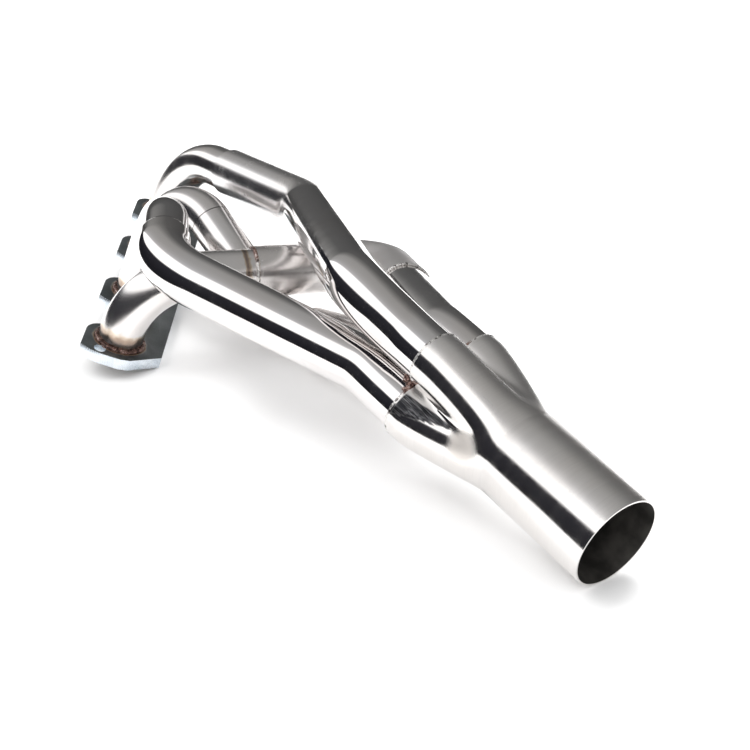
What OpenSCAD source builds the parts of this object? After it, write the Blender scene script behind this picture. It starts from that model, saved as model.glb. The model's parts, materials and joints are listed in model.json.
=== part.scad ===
// Four-into-one welded exhaust manifold (tubular header).
// The middle of the flange's mating face is the origin. +Y runs along the engine from
// port 1 to port 4 and +X points across the flange, towards the collector. The header is
// tipped by rest_tilt about Y, as it lies on a bench: on the flange's lower edge and on
// the outlet's rim. Every part below is drawn square to the flange and tipped last.

/* [Flange] */
// Distance from one exhaust port to the next
port_pitch = 95.5; // [94:0.5:97]
// Thickness of the flange plate
flange_t = 10; // [8:1:12]
// Diameter of each stud hole
stud_hole_d = 10.5; // [8:0.5:10.5]
// Diameter of each exhaust port through the flange
port_hole_d = 38; // [36:0.5:38]

/* [Primary tubes] */
// Outside diameter of each tube at its port
port_tube_d = 40; // [38:1:40]
// Outside diameter of each tube after its slip joint
run_tube_d = 45; // [44:0.5:45]
// Wall thickness of every tube
tube_wall = 1.5; // [1:0.1:2]
// Length of port tube hidden inside a slip joint
slip_depth = 12; // [6:1:14]

/* [Collector] */
// Outside diameter of the outlet pipe
outlet_d = 76; // [70:1:80]
// Length of the formed merge, from the sockets to the neck
merge_length = 90; // [80:1:96]
// Length of the round outlet pipe
outlet_length = 104; // [80:1:104]

/* [Rest] */
// How far the header tips about Y when it lies on a bench
rest_tilt = 18.8; // [0:0.1:19]

/* [Hidden] */
$fn = 64;

steel = "gainsboro";
plate = "dimgray";
brushed = "silver";
bead = "sienna";

port_r = port_tube_d / 2;
run_r = run_tube_d / 2;
port_y = [for (i = [0:3]) (i - 1.5) * port_pitch];

// Flange outline, about one port: the lug on the left and the plate's right edge.
lug_corner_r = 16;
lug_corner = [-15, 4];
right_edge = 39.5;
stud_offset = [-13.8, -24];
port_lug = [[-31, 4], [-31, -25], [-21.5, -30], [-12, -32.3], [6, -32.5], [14.5, -29.5],
            [24, 20], [-15, 20]];
near_end = [[14.5, -29.5], [right_edge, -8], [right_edge, 10], [0, 10]];
far_end = [[0, -10], [right_edge, -10], [right_edge, 24], [21.5, 31], [12, 33],
           [-6, 33], [-15, 20]];
plate_left = -14;

// Collector: where the four sockets open, and the way the gas leaves.
mouth_centre = [248.4, -322.4, 157.2];
collector_yaw = -47.8;
collector_pitch = 90.8;
collector_turn = 38.5;
// Distance of each socket's axis from the collector's axis
socket_offset = 32;
socket_straight = 32;
socket_depth = 8;
collector_wall = 1.6;
socket_gap = 0.2;
outlet_r = outlet_d / 2;

// Sockets, counted round the collector in steps of 90 degrees: tube 3, 1, 4, 2.
socket_turns = [1, 3, 0, 2];

function unit(v) = v / norm(v);
function turned(v, a) = [v[0] * cos(a) - v[1] * sin(a), v[0] * sin(a) + v[1] * cos(a), v[2]];
function pitched(v, a) = [v[0] * cos(a) + v[2] * sin(a), v[1], v[2] * cos(a) - v[0] * sin(a)];
function from_collector(v) = mouth_centre + turned(pitched(v, collector_pitch), collector_yaw);
function socket_angle(tube) = collector_turn + 90 * socket_turns[tube - 1];
function socket_point(tube, along) =
    from_collector([socket_offset * cos(socket_angle(tube)),
                    socket_offset * sin(socket_angle(tube)), along]);
function port_point(tube, height) = [0, port_y[tube - 1], height];

// Corner points of each tube's centreline between its port and its socket, and the
// centreline radius of the bend at each corner. The last two corners are the socket's.
inner_corners = [
    [port_point(1, 75), [201, -71, 125]],
    [port_point(2, 118), [16, -211, 127], [189, -295, 139]],
    [port_point(3, 97), [132, -107, 57], [213, -252, 132]],
    [port_point(4, 80), [120, -38, 143], [165, -285, 196]]
];
corner_radii = [[68, 32], [88, 62, 63], [60, 60, 62], [91, 66, 57]];
socket_bend_r = 60;

function corners(tube) = concat(
    [port_point(tube, flange_t)], inner_corners[tube - 1],
    [socket_point(tube, -socket_straight), socket_point(tube, socket_depth)]);
function radii(tube) = concat([0], corner_radii[tube - 1], [socket_bend_r, 0]);
function heading(tube, leg) = unit(corners(tube)[leg + 1] - corners(tube)[leg]);
function bend_angle(tube, i) = acos(heading(tube, i - 1) * heading(tube, i));
function inset(tube, i) =
    radii(tube)[i] == 0 ? 0 : radii(tube)[i] * tan(bend_angle(tube, i) / 2);
function leg_start(tube, leg) = corners(tube)[leg] + heading(tube, leg) * inset(tube, leg);
function leg_length(tube, leg) =
    norm(corners(tube)[leg + 1] - corners(tube)[leg]) - inset(tube, leg) - inset(tube, leg + 1);
function leg_point(tube, leg, at) = leg_start(tube, leg) + heading(tube, leg) * at;

// Slip joints: the leg each one is on, and how far along that leg the outer tube begins.
slip_leg = [1, 1, 2, 1];
slip_at = [48, 32, 40, 27];

// Columns of an upright frame whose Z is along, as a placing matrix
function placing(x, y, z, at) = [
    [x[0], y[0], z[0], at[0]],
    [x[1], y[1], z[1], at[1]],
    [x[2], y[2], z[2], at[2]],
    [0, 0, 0, 1]];
function across(along) =
    abs(along[2]) > 0.9 ? unit(cross([0, 1, 0], along)) : unit(cross([0, 0, 1], along));
function along_frame(along, at) = placing(across(along), cross(along, across(along)), along, at);

module at_rest() {
    rotate([0, rest_tilt, 0]) children();
}

// Hair's breadth left between a straight and the bend beside it, so both stay exact
butt_gap = 0.01;

// Straight stretch of one leg, from one distance along it to another
module leg_tube(tube, leg, from, to, r) {
    multmatrix(along_frame(heading(tube, leg), leg_point(tube, leg, from)))
        difference() {
            cylinder(r = r, h = to - from);
            translate([0, 0, -1]) cylinder(r = r - tube_wall, h = to - from + 2);
        }
}

module whole_leg(tube, leg, r) {
    leg_tube(tube, leg, butt_gap, leg_length(tube, leg) - butt_gap, r);
}

// Bend at one corner, between the legs on either side of it
module bend_tube(tube, corner, r) {
    u = heading(tube, corner - 1);
    w = heading(tube, corner);
    inward = unit(w - (w * u) * u);
    bend_r = radii(tube)[corner];
    start = corners(tube)[corner] - u * inset(tube, corner);
    multmatrix(placing(-inward, u, cross(u, inward), start + inward * bend_r))
        rotate_extrude(angle = bend_angle(tube, corner))
            translate([bend_r, 0])
                difference() {
                    circle(r = r);
                    circle(r = r - tube_wall);
                }
}

// Port tube: from the flange round its first bend and into the slip joint
module port_tube(tube) {
    color(steel) at_rest() {
        whole_leg(tube, 0, port_r);
        bend_tube(tube, 1, port_r);
        leg_tube(tube, 1, butt_gap, slip_at[tube - 1] + slip_depth, port_r);
    }
}

// Leg on from the slip joint
module slip_leg_rest(tube) {
    leg = slip_leg[tube - 1];
    leg_tube(tube, leg, slip_at[tube - 1], leg_length(tube, leg) - butt_gap, run_r);
}

// Last stretch of a tube, from a corner's bend to inside its socket
module socket_run(tube, corner) {
    last = len(corners(tube)) - 2;
    for (i = [corner:last]) {
        bend_tube(tube, i, run_r);
        whole_leg(tube, i, run_r);
    }
}

module head_flange() {
    color(plate) at_rest()
        difference() {
            linear_extrude(flange_t) {
                for (y = port_y)
                    translate([0, y]) {
                        translate(lug_corner) circle(r = lug_corner_r);
                        polygon(port_lug);
                    }
                translate([plate_left, port_y[0]])
                    square([right_edge - plate_left, port_y[3] - port_y[0]]);
                translate([0, port_y[0]]) polygon(near_end);
                translate([0, port_y[3]]) polygon(far_end);
            }
            for (y = port_y)
                translate([0, y, -1]) {
                    cylinder(d = port_hole_d, h = flange_t + 2);
                    for (side = [-1, 1])
                        translate(-side * stud_offset)
                            cylinder(d = stud_hole_d, h = flange_t + 2);
                }
        }
}

// Fillet weld round a port tube's foot
port_bead = 2.4;
module port_weld(tube) {
    color(bead) at_rest()
        translate(port_point(tube, flange_t))
            rotate_extrude()
                intersection() {
                    translate([port_r, 0]) circle(r = port_bead);
                    translate([port_r, 0]) square(port_bead + 1);
                }
}

// Fillet weld in the step where the port tube enters the larger tube
slip_bead_width = 4;
module step_bead(along, start, r, step) {
    color(bead) at_rest()
        multmatrix(along_frame(along, start))
            rotate_extrude()
                polygon([[r, 0], [r + 1, 0], [r + step, slip_bead_width * 0.6],
                         [r + step, slip_bead_width], [r, slip_bead_width]]);
}
module slip_weld(tube) {
    leg = slip_leg[tube - 1];
    start = leg_point(tube, leg, slip_at[tube - 1] - slip_bead_width);
    step_bead(heading(tube, leg), start, port_r, run_r - port_r);
}

module primary_1_port_bend() { port_tube(1); }
module primary_1_crossover() { color(steel) at_rest() slip_leg_rest(1); }
// The side elbow fits over the tube, and laps it at its start and at its end.
elbow_step = 1.8;
elbow_lap = [7, 50];
module primary_1_side_bend() {
    elbow_r = run_r + elbow_step;
    color(steel) at_rest() {
        leg_tube(1, 1, leg_length(1, 1) - elbow_lap[0], leg_length(1, 1) - butt_gap, elbow_r);
        bend_tube(1, 2, elbow_r);
        leg_tube(1, 2, butt_gap, elbow_lap[1], elbow_r);
    }
}
module elbow_weld_1() {
    start = leg_point(1, 1, leg_length(1, 1) - elbow_lap[0] - slip_bead_width);
    step_bead(heading(1, 1), start, run_r, elbow_step);
}
module elbow_weld_2() {
    start = leg_point(1, 2, elbow_lap[1] + slip_bead_width);
    step_bead(-heading(1, 2), start, run_r, elbow_step);
}
module primary_1_run() {
    color(steel) at_rest() {
        whole_leg(1, 2, run_r);
        socket_run(1, 3);
    }
}

module primary_2_riser() { port_tube(2); }
module primary_2_front_bend() {
    color(steel) at_rest() {
        slip_leg_rest(2);
        bend_tube(2, 2, run_r);
    }
}
module primary_2_run() {
    color(steel) at_rest() {
        whole_leg(2, 2, run_r);
        socket_run(2, 3);
    }
}

module primary_3_port_bend() {
    color(steel) at_rest() {
        whole_leg(3, 0, port_r);
        bend_tube(3, 1, port_r);
    }
}
module primary_3_drop() {
    color(steel) at_rest() {
        whole_leg(3, 1, port_r);
        bend_tube(3, 2, port_r);
        leg_tube(3, 2, butt_gap, slip_at[2] + slip_depth, port_r);
    }
}
module primary_3_run() {
    color(steel) at_rest() {
        slip_leg_rest(3);
        socket_run(3, 3);
    }
}

module primary_4_port_bend() { port_tube(4); }
module primary_4_crossover() {
    color(steel) at_rest() {
        slip_leg_rest(4);
        bend_tube(4, 2, run_r);
    }
}
module primary_4_run() {
    color(steel) at_rest() {
        whole_leg(4, 2, run_r);
        socket_run(4, 3);
    }
}

module collector_frame() {
    at_rest()
        translate(mouth_centre)
            rotate([0, collector_pitch, collector_yaw])
                children();
}

// Section of the merge: four lobes at the sockets, which flatten into a circle at the neck
merge_rings = 12;
merge_sides = 72;
merge_ease = 1.2;
valley_start = 2;
valley_end = 14;
merge_start = socket_depth + 2;
function lobe_phase(a) = (a - collector_turn + 405) % 90 - 45;
function clover(a, lobe_r) =
    socket_offset * cos(lobe_phase(a))
    + sqrt(max(0, pow(lobe_r, 2) - pow(socket_offset * sin(lobe_phase(a)), 2)));
// Slope of the lobe's outline, in mm a degree
function lobe_slope(a, lobe_r) = -socket_offset * sin(a) * PI / 180
    * (1 + socket_offset * cos(a) / sqrt(pow(lobe_r, 2) - pow(socket_offset * sin(a), 2)));
// The same outline with each valley rounded, w degrees to either side of its bottom
function soft_clover(a, lobe_r, w) =
    let (x = abs(lobe_phase(a)) - 45 + w)
    x <= 0 ? clover(a, lobe_r)
    : clover(collector_turn + 45 - w, lobe_r)
        + lobe_slope(45 - w, lobe_r) * (x - x * x / (2 * w));
function merge_radius(a, share, lobe_r, neck_r) =
    let (blend = pow(share, merge_ease),
         w = valley_start + (valley_end - valley_start) * share)
    soft_clover(a, lobe_r, w) * (1 - blend) + neck_r * blend;
function merge_ring(i, lobe_r, neck_r) =
    let (share = max(0, i - 1) / (merge_rings - 1),
         z = i == 0 ? 0 : merge_start + (merge_length - merge_start) * share)
    [for (s = [0:merge_sides - 1])
        let (a = collector_turn + s * 360 / merge_sides,
             r = merge_radius(a, share, lobe_r, neck_r))
        [r * cos(a), r * sin(a), z]];

module collector_merge() {
    inner_lobe = run_r + socket_gap;
    outside = [for (i = [0:merge_rings]) each
        merge_ring(i, inner_lobe + collector_wall, outlet_r)];
    inside = [for (i = [0:merge_rings]) each
        merge_ring(i, inner_lobe, outlet_r - collector_wall)];
    skin = len(outside);
    last = merge_rings * merge_sides;
    faces = [for (s = [0:merge_sides - 1])
        let (n = (s + 1) % merge_sides)
        each concat(
            [for (i = [0:merge_rings - 1])
                let (k = i * merge_sides)
                each [[k + s, k + merge_sides + s, k + n],
                      [k + n, k + merge_sides + s, k + merge_sides + n],
                      [skin + k + s, skin + k + n, skin + k + merge_sides + s],
                      [skin + k + n, skin + k + merge_sides + n, skin + k + merge_sides + s]]],
            [[s, n, skin + s], [n, skin + n, skin + s],
             [last + s, skin + last + s, last + n],
             [last + n, skin + last + s, skin + last + n]])];
    color(brushed) collector_frame()
        polyhedron(concat(outside, inside), faces);
}

module collector_outlet() {
    color(brushed) collector_frame()
        translate([0, 0, merge_length])
            difference() {
                cylinder(r = outlet_r, h = outlet_length);
                translate([0, 0, -1])
                    cylinder(r = outlet_r - collector_wall, h = outlet_length + 2);
            }
}

// Star-shaped plate that closes the space between the four tubes
plug_r = 14;
plug_t = 3;
module collector_plug() {
    color(brushed) collector_frame()
        difference() {
            cylinder(r = plug_r, h = plug_t);
            for (tube = [1:4])
                rotate(socket_angle(tube))
                    translate([socket_offset, 0, -1])
                        cylinder(r = run_r + socket_gap, h = plug_t + 2);
        }
}

// Weld on the open side of a tube where it enters its socket
socket_bead = 2.2;
socket_weld_arc = 200;
module socket_weld(tube) {
    color(bead) collector_frame()
        rotate(socket_angle(tube))
            translate([socket_offset, 0, 0])
                rotate(-socket_weld_arc / 2)
                    rotate_extrude(angle = socket_weld_arc)
                        polygon([[run_r, -3.5], [run_r + 0.9, -3.2], [run_r + socket_bead, -1.2],
                                 [run_r + socket_bead, 0], [run_r, 0]]);
}

head_flange();
port_weld(1);  // port_weld_1
port_weld(2);  // port_weld_2
port_weld(3);  // port_weld_3
port_weld(4);  // port_weld_4
primary_1_port_bend();
primary_1_crossover();
primary_1_side_bend();
elbow_weld_1();
elbow_weld_2();
primary_1_run();
primary_2_riser();
primary_2_front_bend();
primary_2_run();
primary_3_port_bend();
primary_3_drop();
primary_3_run();
primary_4_port_bend();
primary_4_crossover();
primary_4_run();
slip_weld(1);  // slip_weld_1
slip_weld(2);  // slip_weld_2
slip_weld(3);  // slip_weld_3
slip_weld(4);  // slip_weld_4
collector_merge();
collector_outlet();
collector_plug();
socket_weld(1);  // socket_weld_1
socket_weld(2);  // socket_weld_2
socket_weld(3);  // socket_weld_3
socket_weld(4);  // socket_weld_4
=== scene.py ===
"""Welded tubular exhaust manifold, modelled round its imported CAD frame."""

import json
import math

import bpy
from mathutils import Matrix, Vector


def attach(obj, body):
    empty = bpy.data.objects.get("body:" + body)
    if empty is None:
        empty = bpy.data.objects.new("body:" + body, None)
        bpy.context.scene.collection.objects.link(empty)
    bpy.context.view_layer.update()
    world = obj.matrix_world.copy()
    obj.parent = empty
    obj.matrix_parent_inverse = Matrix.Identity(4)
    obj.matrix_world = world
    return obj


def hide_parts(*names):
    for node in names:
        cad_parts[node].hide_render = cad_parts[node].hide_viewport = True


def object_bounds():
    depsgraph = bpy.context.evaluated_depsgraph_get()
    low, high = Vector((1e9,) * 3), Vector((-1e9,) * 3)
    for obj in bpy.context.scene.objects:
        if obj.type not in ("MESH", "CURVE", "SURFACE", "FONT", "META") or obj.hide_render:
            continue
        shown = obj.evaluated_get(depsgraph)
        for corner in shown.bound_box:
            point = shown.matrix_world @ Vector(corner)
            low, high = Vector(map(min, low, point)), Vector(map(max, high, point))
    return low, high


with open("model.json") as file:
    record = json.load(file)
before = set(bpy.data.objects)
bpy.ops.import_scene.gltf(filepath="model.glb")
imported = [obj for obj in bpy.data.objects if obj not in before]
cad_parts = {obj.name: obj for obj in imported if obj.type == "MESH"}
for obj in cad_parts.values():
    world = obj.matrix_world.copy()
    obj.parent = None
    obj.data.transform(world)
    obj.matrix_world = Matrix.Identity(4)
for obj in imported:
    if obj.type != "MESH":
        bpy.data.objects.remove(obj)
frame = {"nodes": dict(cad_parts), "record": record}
CAD_BOUNDS = [list(corner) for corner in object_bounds()]

bl_info = {
    "name": "Tubular Exhaust Manifold",
    "version": (1, 0, 0),
    "blender": (4, 5, 0),
    "location": "3D View > Sidebar > Manifold",
    "description": "Models a welded exhaust manifold with its finishes",
    "category": "Object",
}

MM = 0.001
MOUNTS = {mount["name"]: mount for mount in frame["record"]["mounts"]}

# The flange lies tipped about Y: its mating face's outward normal gives the angle.
FACE_OUT = Vector(MOUNTS["flange_face"]["axis"])
TILT = Matrix.Rotation(math.atan2(-FACE_OUT.x, -FACE_OUT.z), 4, "Y")
FLANGE_UP = -FACE_OUT
FLANGE_T = MOUNTS["port_1"]["dims"]["length_mm"] * MM
FLOOR_Z = CAD_BOUNDS[0][2]

# Collector frame, square to the flange, in millimetres and degrees
MOUTH = (248.4, -322.4, 157.2)
COLLECTOR_YAW = -47.8
COLLECTOR_PITCH = 90.8
COLLECTOR_TURN = 38.5
SOCKET_OFFSET = 32.0
SOCKET_DEPTH = 8.0
SOCKET_STRAIGHT = 32.0
SOCKET_TURNS = {1: 1, 2: 3, 3: 0, 4: 2}
MERGE_LENGTH = 90.0
OUTLET_LENGTH = 104.0

# Corners of each tube's centreline, square to the flange, and the bend radius at each
INNER_CORNERS = {
    1: [(0, -143.25, 75), (201, -71, 125)],
    2: [(0, -47.75, 118), (16, -211, 127), (189, -295, 139)],
    3: [(0, 47.75, 97), (132, -107, 57), (213, -252, 132)],
    4: [(0, 143.25, 80), (120, -38, 143), (165, -285, 196)],
}
CORNER_RADII = {1: [68, 32], 2: [88, 62, 63], 3: [60, 60, 62], 4: [91, 66, 57]}
SOCKET_BEND_R = 60
SLIP_LEG = {1: 1, 2: 1, 3: 2, 4: 1}
SLIP_AT = {1: 48, 2: 32, 3: 40, 4: 27}
SLIP_DEPTH = 12
# Tube 1's side elbow is a size larger and laps the tube at both ends
ELBOW_STEP = 1.8
ELBOW_LAP = (7, 50)


def place(point):
    """A point given square to the flange in millimetres, in the frame's metres."""
    return TILT @ (Vector(point) * MM)


COLLECTOR = (
    TILT
    @ Matrix.Translation(Vector(MOUTH) * MM)
    @ Matrix.Rotation(math.radians(COLLECTOR_YAW), 4, "Z")
    @ Matrix.Rotation(math.radians(COLLECTOR_PITCH), 4, "Y")
)
OUTLET_DIR = (COLLECTOR.to_3x3() @ Vector((0, 0, 1))).normalized()


def socket_angle(tube):
    return math.radians(COLLECTOR_TURN + 90 * SOCKET_TURNS[tube])


def in_collector(x, y, z):
    """A point of the collector's own frame, in millimetres, in the frame's metres."""
    return COLLECTOR @ (Vector((x, y, z)) * MM)


def socket_point(tube, along):
    turn = socket_angle(tube)
    return in_collector(SOCKET_OFFSET * math.cos(turn), SOCKET_OFFSET * math.sin(turn), along)


class Route:
    """Centreline of one tube: straight legs joined by circular bends."""

    def __init__(self, tube):
        foot = Vector(MOUNTS[f"port_{tube}"]["pos_m"]) + FLANGE_UP * FLANGE_T / 2
        self.corners = [foot]
        self.corners += [place(corner) for corner in INNER_CORNERS[tube]]
        self.corners += [socket_point(tube, -SOCKET_STRAIGHT), socket_point(tube, SOCKET_DEPTH)]
        self.radii = [0.0] + [r * MM for r in CORNER_RADII[tube]] + [SOCKET_BEND_R * MM, 0.0]

    def heading(self, leg):
        return (self.corners[leg + 1] - self.corners[leg]).normalized()

    def bend_angle(self, corner):
        return self.heading(corner - 1).angle(self.heading(corner))

    def inset(self, corner):
        if not self.radii[corner]:
            return 0.0
        return self.radii[corner] * math.tan(self.bend_angle(corner) / 2)

    def length(self, leg):
        whole = (self.corners[leg + 1] - self.corners[leg]).length
        return whole - self.inset(leg) - self.inset(leg + 1)

    def point(self, leg, at):
        return self.corners[leg] + self.heading(leg) * (self.inset(leg) + at)

    def line(self, leg, start=0.0, end=None):
        end = self.length(leg) if end is None else end
        return ("line", self.point(leg, start), self.point(leg, end), self.heading(leg))

    def bend(self, corner):
        u, w = self.heading(corner - 1), self.heading(corner)
        inward = (w - w.dot(u) * u).normalized()
        start = self.corners[corner] - u * self.inset(corner)
        centre = start + inward * self.radii[corner]
        return ("bend", start, centre, u.cross(inward).normalized(), self.bend_angle(corner), u)


ROUTES = {tube: Route(tube) for tube in (1, 2, 3, 4)}


# ---- shader expressions


class Value:
    """A socket of a shader tree that takes part in Python arithmetic."""

    def __init__(self, tree, socket):
        self.tree = tree
        self.socket = socket

    def _math(self, operation, first, second=None):
        return self.tree.node("ShaderNodeMath", {"operation": operation}, {0: first, 1: second})

    def __add__(self, other):
        return self._math("ADD", self, other)

    def __radd__(self, other):
        return self._math("ADD", other, self)

    def __sub__(self, other):
        return self._math("SUBTRACT", self, other)

    def __rsub__(self, other):
        return self._math("SUBTRACT", other, self)

    def __mul__(self, other):
        return self._math("MULTIPLY", self, other)

    def __rmul__(self, other):
        return self._math("MULTIPLY", other, self)

    def __truediv__(self, other):
        return self._math("DIVIDE", self, other)

    def __abs__(self):
        return self._math("ABSOLUTE", self)

    def most(self, other):
        return self._math("MAXIMUM", self, other)

    def ramp(self, low, high, to_low=0.0, to_high=1.0):
        """This value, carried smoothly from the range low..high to to_low..to_high."""
        return self.tree.node(
            "ShaderNodeMapRange", {"interpolation_type": "SMOOTHSTEP"},
            {"Value": self, "From Min": low, "From Max": high, "To Min": to_low, "To Max": to_high})


class Tree:
    """A node tree that is written as Python expressions."""

    def __init__(self, node_tree):
        self.nodes = node_tree.nodes
        self.links = node_tree.links
        self.nodes.clear()

    def node(self, kind, settings=None, inputs=None, output=0):
        """One node of any type: its settings first, then the values or links of its sockets."""
        made = self.nodes.new(kind)
        for name, value in (settings or {}).items():
            if name == "stops":
                self._set_stops(made.color_ramp, value)
            else:
                setattr(made, name, value)
        for name, value in (inputs or {}).items():
            if isinstance(value, Value):
                self.links.new(value.socket, made.inputs[name])
            elif value is not None:
                made.inputs[name].default_value = value
        return Value(self, made.outputs[output]) if made.outputs else None

    @staticmethod
    def _set_stops(ramp, stops):
        while len(ramp.elements) < len(stops):
            ramp.elements.new(0.5)
        for element, (position, colour) in zip(ramp.elements, stops):
            element.position = position
            element.color = (*colour, 1.0)

    def mix(self, factor, first, second):
        """Colour that goes from first to second as factor goes from 0 to 1."""
        inputs = {"Factor": factor, 6: rgba(first), 7: rgba(second)}
        return self.node("ShaderNodeMix", {"data_type": "RGBA"}, inputs, 2)

    def place(self):
        return self.node("ShaderNodeTexCoord", output=3)

    def vector(self, operation, first, second, output=0):
        return self.node("ShaderNodeVectorMath", {"operation": operation},
                         {0: first, 1: second}, output)

    def parts(self, vector):
        """X, Y and Z of a vector."""
        node = self.node("ShaderNodeSeparateXYZ", None, {"Vector": vector}).socket.node
        return [Value(self, node.outputs[i]) for i in range(3)]

    def turned(self, vector, rotation, scale):
        """The vector in turned axes, with each axis scaled."""
        turned = self.node("ShaderNodeVectorRotate",
                           {"rotation_type": "EULER_XYZ", "invert": True},
                           {"Vector": vector, "Rotation": rotation})
        return self.vector("MULTIPLY", turned, scale)

    def noise(self, vector, scale, detail=3.0, roughness=0.5):
        return self.node("ShaderNodeTexNoise", None,
                         {"Vector": vector, "Scale": scale, "Detail": detail,
                          "Roughness": roughness})

    def bump(self, height, strength, distance, below=None):
        return self.node("ShaderNodeBump", None,
                         {"Height": height, "Strength": strength, "Distance": distance,
                          "Normal": below})

    def surface(self, **inputs):
        """Principled surface; underscores in names stand for spaces."""
        named = {name.replace("_", " "): value for name, value in inputs.items()}
        shader = self.node("ShaderNodeBsdfPrincipled", None, named)
        self.node("ShaderNodeOutputMaterial", None, {"Surface": shader})


def rgba(colour):
    return colour if isinstance(colour, Value) else (*colour, 1.0)


def new_tree(name):
    material = bpy.data.materials.new(name)
    material.use_nodes = True
    return material, Tree(material.node_tree)


# ---- finishes


def heat_tint(tree, where, colour, welds):
    """Straw, brown and blue bands that a weld leaves on the steel beside it."""
    mottle = tree.noise(where, 160.0, 2.0)
    for centre, radius, reach in welds:
        away = tree.vector("DISTANCE", where, tuple(centre), 1)
        off = abs(away - radius) / reach + (mottle - 0.5) * 0.6
        band = tree.node("ShaderNodeValToRGB", {"stops": [
            (0.00, (0.16, 0.11, 0.09)),
            (0.30, (0.34, 0.23, 0.15)),
            (0.55, (0.60, 0.47, 0.31)),
            (0.75, (0.62, 0.62, 0.66)),
            (1.00, (0.80, 0.76, 0.70))]}, {"Fac": off})
        colour = tree.mix(off.ramp(0.2, 1.0, 0.85, 0.0), colour, band)
    return colour


def seam_lines(tree, where, colour, seams):
    """A thin dark ring where two lengths of tube are butted and ground flush."""
    for point, axis in seams:
        offset = tree.vector("SUBTRACT", where, tuple(point))
        off = abs(tree.vector("DOT_PRODUCT", offset, tuple(axis), 1))
        colour = tree.mix(off.ramp(0.0003, 0.0008, 0.85, 0.0), colour, (0.08, 0.07, 0.07))
    return colour


def polished_steel(name, settings, welds, satin, seams):
    """Polished stainless tube with heat tint beside its welds."""
    material, tree = new_tree(name)
    where = tree.place()
    cloud = tree.noise(where, 14.0, 3.0)
    smear = tree.noise(where, 55.0, 4.0, 0.6)
    hair = tree.noise(tree.vector("MULTIPLY", where, (900.0, 900.0, 2600.0)), 1.0, 2.0)
    colour = tree.mix(cloud.ramp(0.35, 0.7), settings.steel, settings.steel_warm)
    colour = heat_tint(tree, where, colour, welds)
    colour = seam_lines(tree, where, colour, seams)
    rough = (settings.polish + satin + smear.ramp(0.45, 0.75, 0.0, 0.07)
             + hair.ramp(0.5, 0.8, 0.0, 0.03))
    wave = tree.bump(cloud, 0.05, 0.004)
    fine = tree.bump(hair, 0.02, 0.00005, wave)
    tree.surface(Base_Color=colour, Metallic=1.0, Roughness=rough, Normal=fine)
    return material


# Scuffed valley between the sockets of tubes 4 and 2, darkened with painted shade: its turn from
# the first socket, its nearer and farther edge at the mouth, and its length
SCUFF_SHADE_TURN = 225
SCUFF_SHADE_OFFSET = 0.005
SCUFF_SHADE_WIDTH = 0.024
SCUFF_SHADE_LENGTH = 0.060
# Matt haze just past the scuffed valley with its painted shade, on the side of tube 2
HAZE_OUT = 36
HAZE_ALONG = 66
HAZE_TURN = math.radians(13)


def brushed_steel(name, settings):
    """Stainless steel polished below and finely brushed on top, with one scuffed valley darkened by
    painted shade.
    """
    material, tree = new_tree(name)
    where = tree.place()
    turn = tuple(COLLECTOR.to_euler("XYZ"))
    strokes = tree.noise(tree.turned(where, turn, (30.0, 30.0, 4200.0)), 1.0, 2.0, 0.6)
    bands = tree.noise(tree.turned(where, turn, (6.0, 6.0, 160.0)), 1.0, 3.0, 0.6)
    cloud = tree.noise(where, 22.0, 3.0)
    scratch = tree.noise(tree.turned(where, turn, (700.0, 40.0, 500.0)), 1.0, 1.0)
    colour = tree.mix(cloud.ramp(0.3, 0.7), settings.brushed, settings.brushed_warm)
    colour = tree.mix(strokes.ramp(0.35, 0.75, 0.0, 0.28), colour, (0.58, 0.56, 0.55))
    normal = tree.node("ShaderNodeNewGeometry", output=1)
    upward = tree.parts(normal)[2]
    satin = upward.ramp(0.62, 0.86, 0.0, settings.top_satin)
    rough = (settings.brush_roughness + satin + strokes.ramp(0.3, 0.8, 0.0, 0.04)
             + bands.ramp(0.4, 0.7, 0.0, 0.04) + scratch.ramp(0.72, 0.8, 0.0, 0.12))

    local = tree.turned(tree.vector("SUBTRACT", where, tuple(COLLECTOR.translation)), turn,
                        (1.0, 1.0, 1.0))
    x, y, along = tree.parts(local)
    angle = math.radians(COLLECTOR_TURN + SCUFF_SHADE_TURN)
    beside = y * math.cos(angle) - x * math.sin(angle)
    outward = x * math.cos(angle) + y * math.sin(angle)
    ragged = (tree.noise(tree.turned(where, turn, (900.0, 900.0, 70.0)), 1.0, 2.0) - 0.5) * 0.006
    taper = 1.0 - along / SCUFF_SHADE_LENGTH
    inside = ((beside - SCUFF_SHADE_OFFSET * taper + ragged * 0.4).ramp(0.0, 0.0012)
              * (SCUFF_SHADE_WIDTH * taper - beside + ragged).ramp(0.0, 0.0012)
              * outward.ramp(0.0, 0.005) * along.ramp(0.0005, 0.002))
    # Scuff lines over near-black: the scuff lines are real, the near-black under them is painted
    # shade in the valley.
    lines = tree.noise(tree.turned(where, turn, (2600.0, 2600.0, 60.0)), 1.0, 3.0, 0.6)
    scuff_and_shade = tree.mix(lines.ramp(0.45, 0.72), (0.022, 0.022, 0.026), (0.42, 0.42, 0.43))
    colour = tree.mix(inside, colour, scuff_and_shade)
    haze_at = in_collector(HAZE_OUT * math.cos(angle + HAZE_TURN),
                           HAZE_OUT * math.sin(angle + HAZE_TURN), HAZE_ALONG)
    haze = tree.vector("DISTANCE", where, tuple(haze_at), 1).ramp(0.008, 0.017, 1.0, 0.0)
    haze = haze * (1.0 - inside)
    colour = tree.mix(haze, colour, (0.95, 0.90, 0.85))
    rough = rough + inside * 0.30 + haze * 0.45
    grain = tree.bump(strokes, 0.25, 0.00006)
    tree.surface(Base_Color=colour, Metallic=1.0, Roughness=rough, Normal=grain)
    return material


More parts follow.
